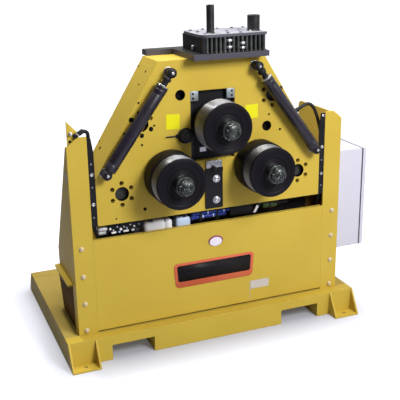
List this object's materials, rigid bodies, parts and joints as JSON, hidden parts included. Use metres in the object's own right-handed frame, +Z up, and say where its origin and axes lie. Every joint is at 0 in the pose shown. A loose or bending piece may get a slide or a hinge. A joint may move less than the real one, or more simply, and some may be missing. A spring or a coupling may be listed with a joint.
{
  "type": "ring roller",
  "caption": "Floor-standing hydraulic ring roller: polished rolls on a slanted-sided steel head, the top one fed down by a slide, over a power pack on a fork-lift skid.",
  "frame": {"origin": "centre of the anchor holes in the corner feet, on the floor", "axes": "+Z up, -Y towards the rolls and the operator, +X to the operator's right, where the electrical cabinet hangs"},
  "size_m": [1.6645, 1.1055, 1.532],
  "materials": {
    "machine_paint": "semi-gloss mustard enamel on steel plate",
    "black_steel": "blackened tool steel",
    "polished_steel": "ground bright steel",
    "chrome_rod": "hard chrome",
    "drive_paint": "dark grey enamel on castings",
    "cover_aluminium": "milled aluminium plate",
    "cabinet_paint": "pale lavender-grey powder coat",
    "white_plastic": "white moulded coil housings",
    "black_plastic": "black moulded plastic",
    "grey_plastic": "grey moulded housings on a zinc plate",
    "hose_rubber": "black reinforced rubber"
  },
  "bodies": {
    "frame": {"anchor_feet": "machine_paint", "cabinet_box": "cabinet_paint", "cap_plate": "black_steel", "centre_bar": "black_steel", "centre_block": "polished_steel", "control_gear": "grey_plastic", "deck_plate": "machine_paint", "electric_motor": "drive_paint", "filler_breather": "black_plastic", "fork_tunnels": "machine_paint", "front_panel": "machine_paint", "front_sill": "machine_paint", "guide_cylinder_barrels": "black_steel", "guide_cylinder_pins": "polished_steel", "guide_cylinder_rods": "chrome_rod", "head_brackets": "black_steel", "head_closing_plates": "machine_paint", "head_front_plate": "machine_paint", "head_rear_plate": "machine_paint", "hose_bracket": "machine_paint", "hydraulic_hoses": "hose_rubber", "hydraulic_pump": "drive_paint", "indicator_base": "black_steel", "left_post": "machine_paint", "lower_bearings": "polished_steel", "lower_gear_motors": "drive_paint", "main_cylinder": "drive_paint", "manifold": "black_steel", "manifold_cover": "cover_aluminium", "mast_sockets": "black_steel", "oil_tank": "machine_paint", "panel_bolts": "polished_steel", "rear_sill": "machine_paint", "right_post": "machine_paint", "shelf": "machine_paint", "side_rails": "machine_paint", "slide_guides": "polished_steel", "solenoid_valves": "white_plastic", "tie_studs": "black_steel", "valve_block": "polished_steel"},
    "slide": {"top_slide": "black_steel", "top_bearings": "polished_steel", "piston_rod": "chrome_rod", "top_gear_motor": "drive_paint"},
    "top_roll": {"top_roll_shaft": "polished_steel", "top_roll_rings": "black_steel", "top_roll_band": "polished_steel", "top_roll_locknut": "black_steel"},
    "left_roll": {"left_roll_shaft": "polished_steel", "left_roll_rings": "black_steel", "left_roll_band": "polished_steel", "left_roll_locknut": "black_steel"},
    "right_roll": {"right_roll_shaft": "polished_steel", "right_roll_rings": "black_steel", "right_roll_band": "polished_steel", "right_roll_locknut": "black_steel"},
    "knob": {"indicator_knob": "black_plastic"},
    "door": {"cabinet_door": "cabinet_paint"},
    "lock": {"door_lock": "chrome_rod"},
    "isolator": {"isolator_handle": "black_plastic"}
  },
  "joints": [
    {"name": "roll_feed", "type": "slide", "parent": "frame", "child": "slide", "axis": [0, 0, 1], "range_m": [-0.085, 0.06]},
    {"name": "top_roll_spin", "type": "hinge", "parent": "slide", "child": "top_roll", "pos_m": [0, -0.3, 1.031], "axis": [0, 1, 0], "continuous": true},
    {"name": "left_roll_spin", "type": "hinge", "parent": "frame", "child": "left_roll", "pos_m": [-0.2145, -0.3, 0.814], "axis": [0, 1, 0], "continuous": true},
    {"name": "right_roll_spin", "type": "hinge", "parent": "frame", "child": "right_roll", "pos_m": [0.2145, -0.3, 0.814], "axis": [0, 1, 0], "continuous": true},
    {"name": "knob_turn", "type": "hinge", "parent": "frame", "child": "knob", "pos_m": [-0.134, -0.39, 0.983], "axis": [0, 1, 0], "range_deg": [-180, 180]},
    {"name": "door_hinge", "type": "hinge", "parent": "frame", "child": "door", "pos_m": [0.9035, 0.0285, 0.515], "axis": [0, 0, 1], "range_deg": [0, 110]},
    {"name": "lock_turn", "type": "hinge", "parent": "door", "child": "lock", "pos_m": [0.905, -0.192, 0.515], "axis": [1, 0, 0], "range_deg": [0, 90]},
    {"name": "isolator_turn", "type": "hinge", "parent": "door", "child": "isolator", "pos_m": [0.905, -0.1, 0.685], "axis": [1, 0, 0], "range_deg": [0, 90]}
  ]
}
